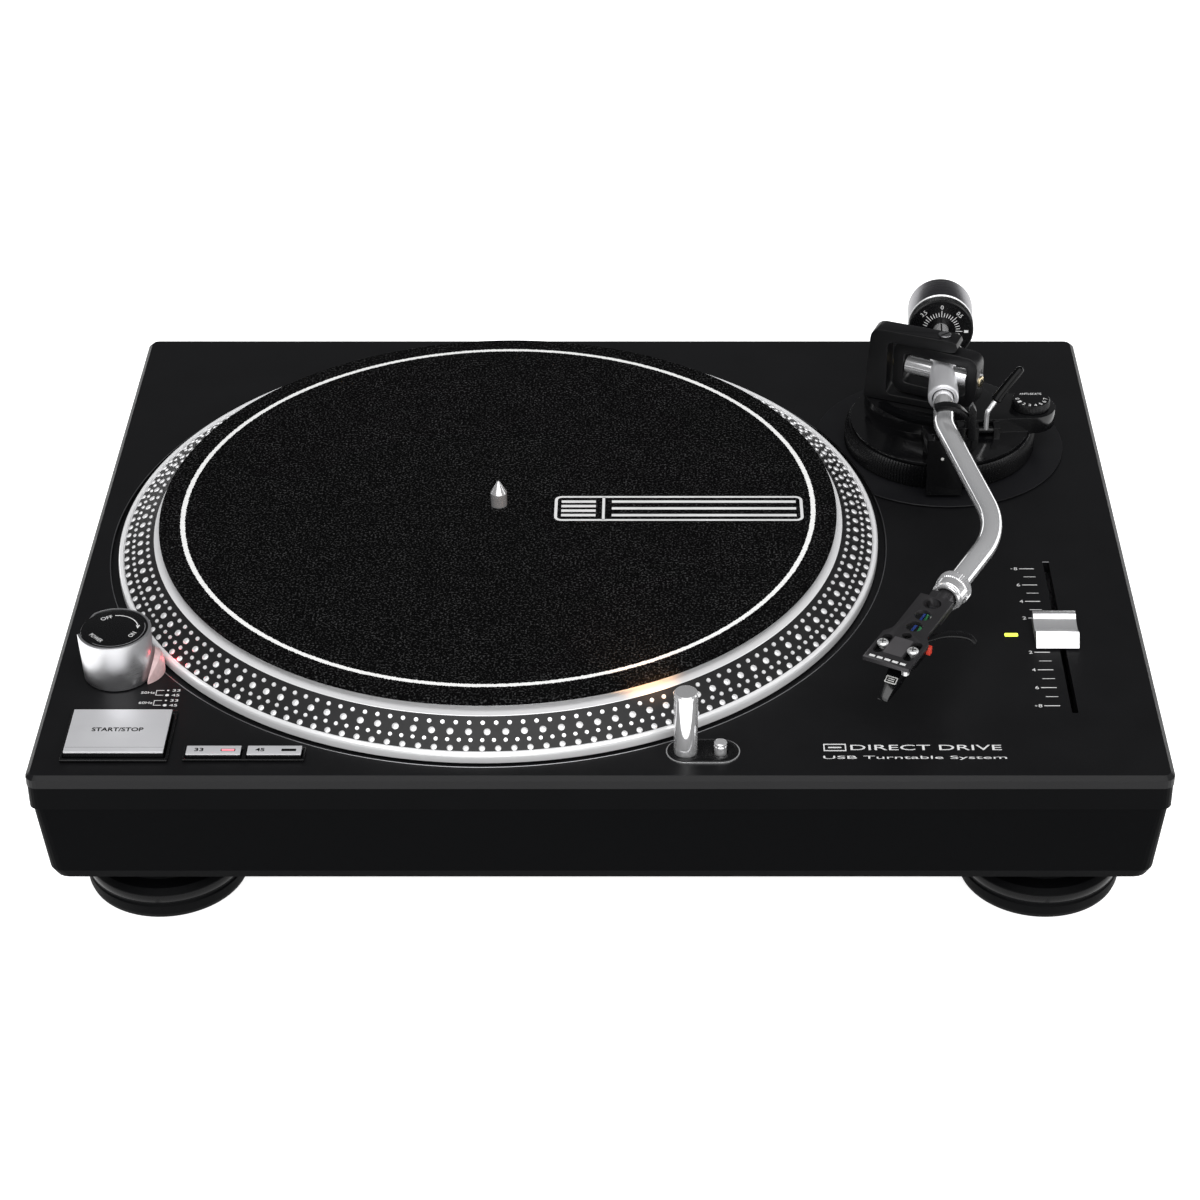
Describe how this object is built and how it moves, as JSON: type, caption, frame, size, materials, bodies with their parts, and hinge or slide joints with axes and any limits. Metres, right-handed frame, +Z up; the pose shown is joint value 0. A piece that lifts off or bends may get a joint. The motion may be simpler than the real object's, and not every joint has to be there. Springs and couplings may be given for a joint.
{
  "type": "turntable",
  "caption": "Direct-drive record turntable with black plinth, dotted platter rim, S-shaped tonearm, pitch fader, speed buttons and height-adjustable feet.",
  "frame": {"origin": "on the floor plane, under the centre of the plinth", "axes": "+X to the right along the plinth's width as seen from the front, +Y from the controls at the front to the connectors at the back, +Z up"},
  "size_m": [0.4516, 0.354, 0.1373],
  "materials": {
    "deck_black": "satin black with a fine grain",
    "frame_black": "satin black",
    "tub_black": "matte navy black",
    "trim_black": "semi-gloss black",
    "arm_base_black": "gloss black",
    "yoke_black": "satin black paint",
    "headshell_black": "anodised satin black",
    "cartridge_black": "black",
    "strobe_pink": "translucent pink plastic",
    "silver_satin": "satin silver",
    "button_silver": "brushed silver plating",
    "chrome_plastic": "polished chrome plating",
    "arm_chrome": "polished",
    "gold_screws": "polished brass",
    "spindle_steel": "polished steel",
    "weight_gunmetal": "satin gunmetal plating",
    "motor_iron": "dark lamination steel",
    "magnet_grey": "dull ferrite",
    "board_green": "green circuit board",
    "felt": "black felt with light flecks and a printed ring",
    "foot_rubber": "black rubber"
  },
  "bodies": {
    "chassis": {"top_plate": "deck_black", "plinth_frame": "frame_black", "bottom_tub": "tub_black", "base_cover": "frame_black", "start_stop_bezel": "trim_black", "speed_button_bezel": "trim_black", "strobe_window": "strobe_pink", "power_knob_cap": "trim_black", "target_light_bezel": "trim_black", "pitch_fader_track": "spindle_steel", "arm_base_disc": "arm_base_black", "motor_stator": "motor_iron", "bearing_housing": "spindle_steel", "control_board": "board_green", "power_transformer": "motor_iron", "power_inlet": "trim_black", "jack_panel": "trim_black", "phono_jacks": "trim_black", "usb_port": "spindle_steel", "ground_terminal": "spindle_steel"},
    "platter": {"platter": "silver_satin", "spindle": "spindle_steel", "rotor_magnet": "magnet_grey"},
    "slipmat": {"slipmat": "felt"},
    "power_knob": {"power_knob_ring": "silver_satin"},
    "start_stop_button": {"start_stop_button": "button_silver"},
    "speed_33_button": {"speed_33_button": "button_silver"},
    "speed_45_button": {"speed_45_button": "button_silver"},
    "target_light": {"target_light_post": "chrome_plastic"},
    "target_light_button": {"target_light_button": "chrome_plastic"},
    "pitch_fader": {"pitch_fader_knob": "chrome_plastic", "pitch_fader_carriage": "trim_black"},
    "height_ring": {"height_ring": "arm_base_black"},
    "arm_base": {"arm_base": "arm_base_black", "outer_yoke": "yoke_black", "yoke_pivot_screw": "chrome_plastic", "arm_rest": "arm_base_black"},
    "gimbal": {"gimbal_ring": "yoke_black", "gimbal_screw_left": "gold_screws", "gimbal_screw_right": "gold_screws"},
    "arm": {"arm_hub": "silver_satin", "cross_shaft": "arm_chrome", "arm_tube": "arm_chrome", "counterweight_shaft": "arm_chrome", "headshell": "headshell_black", "finger_lift": "yoke_black", "cartridge": "cartridge_black", "stylus_assembly": "cartridge_black"},
    "locking_collar": {"locking_collar": "chrome_plastic"},
    "counterweight_sleeve": {"counterweight_sleeve": "trim_black"},
    "counterweight": {"counterweight": "weight_gunmetal"},
    "weight_dial": {"weight_dial": "trim_black"},
    "anti_skate_knob": {"anti_skate_knob": "trim_black"},
    "cue_lever": {"cue_lever": "chrome_plastic"},
    "lift_bar": {"lift_bar": "trim_black"},
    "arm_clip": {"arm_clip": "arm_base_black"},
    "foot_front_left": {"foot_front_left": "foot_rubber"},
    "foot_front_right": {"foot_front_right": "foot_rubber"},
    "foot_rear_left": {"foot_rear_left": "foot_rubber"},
    "foot_rear_right": {"foot_rear_right": "foot_rubber"}
  },
  "joints": [
    {"name": "platter_spin", "type": "hinge", "parent": "chassis", "child": "platter", "pos_m": [-0.04675, -0.00025, 0.08], "axis": [0, 0, 1], "continuous": true},
    {"name": "slipmat_turn", "type": "hinge", "parent": "platter", "child": "slipmat", "pos_m": [-0.04675, -0.00025, 0.095], "axis": [0, 0, 1], "continuous": true},
    {"name": "power_knob_turn", "type": "hinge", "parent": "chassis", "child": "power_knob", "pos_m": [-0.1987, -0.10545, 0.08], "axis": [0, 0, 1], "range_deg": [0, 60]},
    {"name": "start_stop_press", "type": "slide", "parent": "chassis", "child": "start_stop_button", "axis": [0, 0, -1], "range_m": [0, 0.0015], "stiffness_N_per_m": 400, "springref_m": -0.002},
    {"name": "speed_33_press", "type": "slide", "parent": "chassis", "child": "speed_33_button", "axis": [0, 0, -1], "range_m": [0, 0.0012], "stiffness_N_per_m": 400, "springref_m": -0.002},
    {"name": "speed_45_press", "type": "slide", "parent": "chassis", "child": "speed_45_button", "axis": [0, 0, -1], "range_m": [0, 0.0012], "stiffness_N_per_m": 400, "springref_m": -0.002},
    {"name": "target_light_rise", "type": "slide", "parent": "chassis", "child": "target_light", "axis": [0, 0, 1], "range_m": [-0.026, 0], "stiffness_N_per_m": 20, "springref_m": 0.03},
    {"name": "target_light_press", "type": "slide", "parent": "chassis", "child": "target_light_button", "axis": [0, 0, -1], "range_m": [0, 0.0025], "stiffness_N_per_m": 200, "springref_m": -0.002},
    {"name": "pitch_slide", "type": "slide", "parent": "chassis", "child": "pitch_fader", "axis": [0, 1, 0], "range_m": [-0.0505, 0.0505]},
    {"name": "arm_height", "type": "slide", "parent": "chassis", "child": "arm_base", "axis": [0, 0, 1], "range_m": [0, 0.006]},
    {"name": "height_ring_turn", "type": "hinge", "parent": "chassis", "child": "height_ring", "pos_m": [0.1524, 0.07825, 0.086], "axis": [0, 0, 1], "range_deg": [0, 181]},
    {"name": "arm_swing", "type": "hinge", "parent": "arm_base", "child": "gimbal", "pos_m": [0.1524, 0.07825, 0.1175], "axis": [0, 0, -1], "range_deg": [0, 48]},
    {"name": "arm_tilt", "type": "hinge", "parent": "gimbal", "child": "arm", "pos_m": [0.1524, 0.07825, 0.1175], "axis": [-0.887, 0.4617, 0], "range_deg": [0, 4.5]},
    {"name": "collar_lock", "type": "hinge", "parent": "arm", "child": "locking_collar", "pos_m": [0.1422, -0.09335, 0.1118], "axis": [-0.4739, -0.8801, -0.031], "range_deg": [0, 60]},
    {"name": "counterweight_turn", "type": "hinge", "parent": "counterweight_sleeve", "child": "counterweight", "pos_m": [0.1524, 0.07825, 0.1175], "axis": [0.066, 0.994, -0.0872], "range_deg": [-540, 540]},
    {"name": "counterweight_travel", "type": "slide", "parent": "arm", "child": "counterweight_sleeve", "axis": [0.066, 0.994, -0.0872], "range_m": [-0.0061, 0.0061]},
    {"name": "weight_dial_turn", "type": "hinge", "parent": "counterweight", "child": "weight_dial", "pos_m": [0.1524, 0.07825, 0.1175], "axis": [0.066, 0.994, -0.0872], "range_deg": [-180, 180]},
    {"name": "anti_skate_turn", "type": "hinge", "parent": "arm_base", "child": "anti_skate_knob", "pos_m": [0.1936, 0.0781, 0.102], "axis": [0, 0, 1], "range_deg": [0, 300]},
    {"name": "cue_lever_tilt", "type": "hinge", "parent": "arm_base", "child": "cue_lever", "pos_m": [0.1719, 0.06235, 0.0964], "axis": [1, 0, 0], "range_deg": [0, 50]},
    {"name": "lift_bar_travel", "type": "slide", "parent": "arm_base", "child": "lift_bar", "axis": [0, 0, 1], "range_m": [-0.00605, 0]},
    {"name": "arm_clip_turn", "type": "hinge", "parent": "arm_base", "child": "arm_clip", "pos_m": [0.1616, 0.03215, 0.1114], "axis": [0, 1, 0], "range_deg": [0, 70]},
    {"name": "foot_front_left_level", "type": "slide", "parent": "chassis", "child": "foot_front_left", "axis": [0, 0, -1], "range_m": [0, 0.005]},
    {"name": "foot_front_right_level", "type": "slide", "parent": "chassis", "child": "foot_front_right", "axis": [0, 0, -1], "range_m": [0, 0.005]},
    {"name": "foot_rear_left_level", "type": "slide", "parent": "chassis", "child": "foot_rear_left", "axis": [0, 0, -1], "range_m": [0, 0.005]},
    {"name": "foot_rear_right_level", "type": "slide", "parent": "chassis", "child": "foot_rear_right", "axis": [0, 0, -1], "range_m": [0, 0.005]}
  ],
  "couplings": [
    {"joint": "height_ring_turn", "follows": "arm_height", "rad_per_m": 523.6},
    {"joint": "counterweight_travel", "follows": "counterweight_turn", "m_per_rad": 0.000637},
    {"joint": "lift_bar_travel", "follows": "cue_lever_tilt", "m_per_rad": -0.006875}
  ]
}
